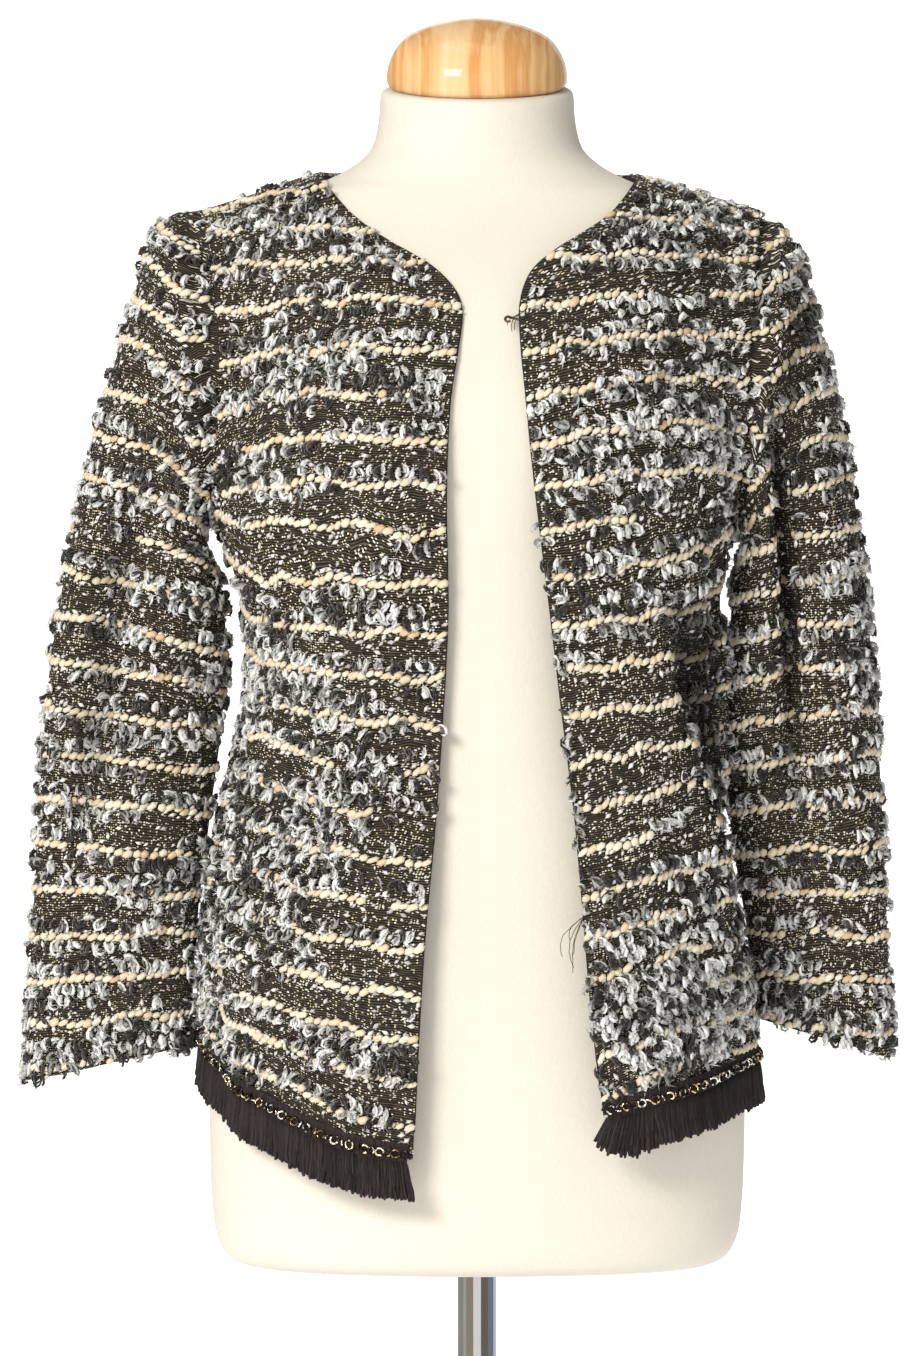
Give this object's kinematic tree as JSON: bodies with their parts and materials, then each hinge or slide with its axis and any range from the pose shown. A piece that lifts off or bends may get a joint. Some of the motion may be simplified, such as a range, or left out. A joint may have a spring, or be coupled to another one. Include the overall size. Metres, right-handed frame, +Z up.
{
  "type": "open-front boucle jacket on a limbless dress form",
  "caption": "Collarless open-front boucle knit jacket with long sleeves, fringed chain trim and a neck hook, worn by a limbless dress form on a round chromed stand",
  "frame": {"origin": "middle of the base plate's underside, under the pole's axis", "axes": "+Z is up along the pole and the dress form; the jacket's front faces -Y; +X is the wearer's left"},
  "size_m": [0.561, 0.31, 1.0569],
  "materials": {
    "chrome": "polished",
    "jersey": "fine matt knit",
    "pine": "glossy varnish",
    "boucle": "looped wool in black, grey and cream rows",
    "fringe": "matt yarn",
    "chain": "bright pale links",
    "hook": "bright wire"
  },
  "bodies": {
    "root": {"base_plate": "chrome", "base_collar": "chrome", "pole": "chrome", "form_torso": "jersey", "neck_cap": "pine", "front_left": "boucle", "front_right": "boucle", "back": "boucle", "sleeve_left": "boucle", "sleeve_right": "boucle", "fringe_front_left": "fringe", "fringe_front_right": "fringe", "fringe_back": "fringe", "chain_front_left": "chain", "chain_front_right": "chain", "chain_back": "chain", "neck_hook": "hook"}
  },
  "joints": []
}
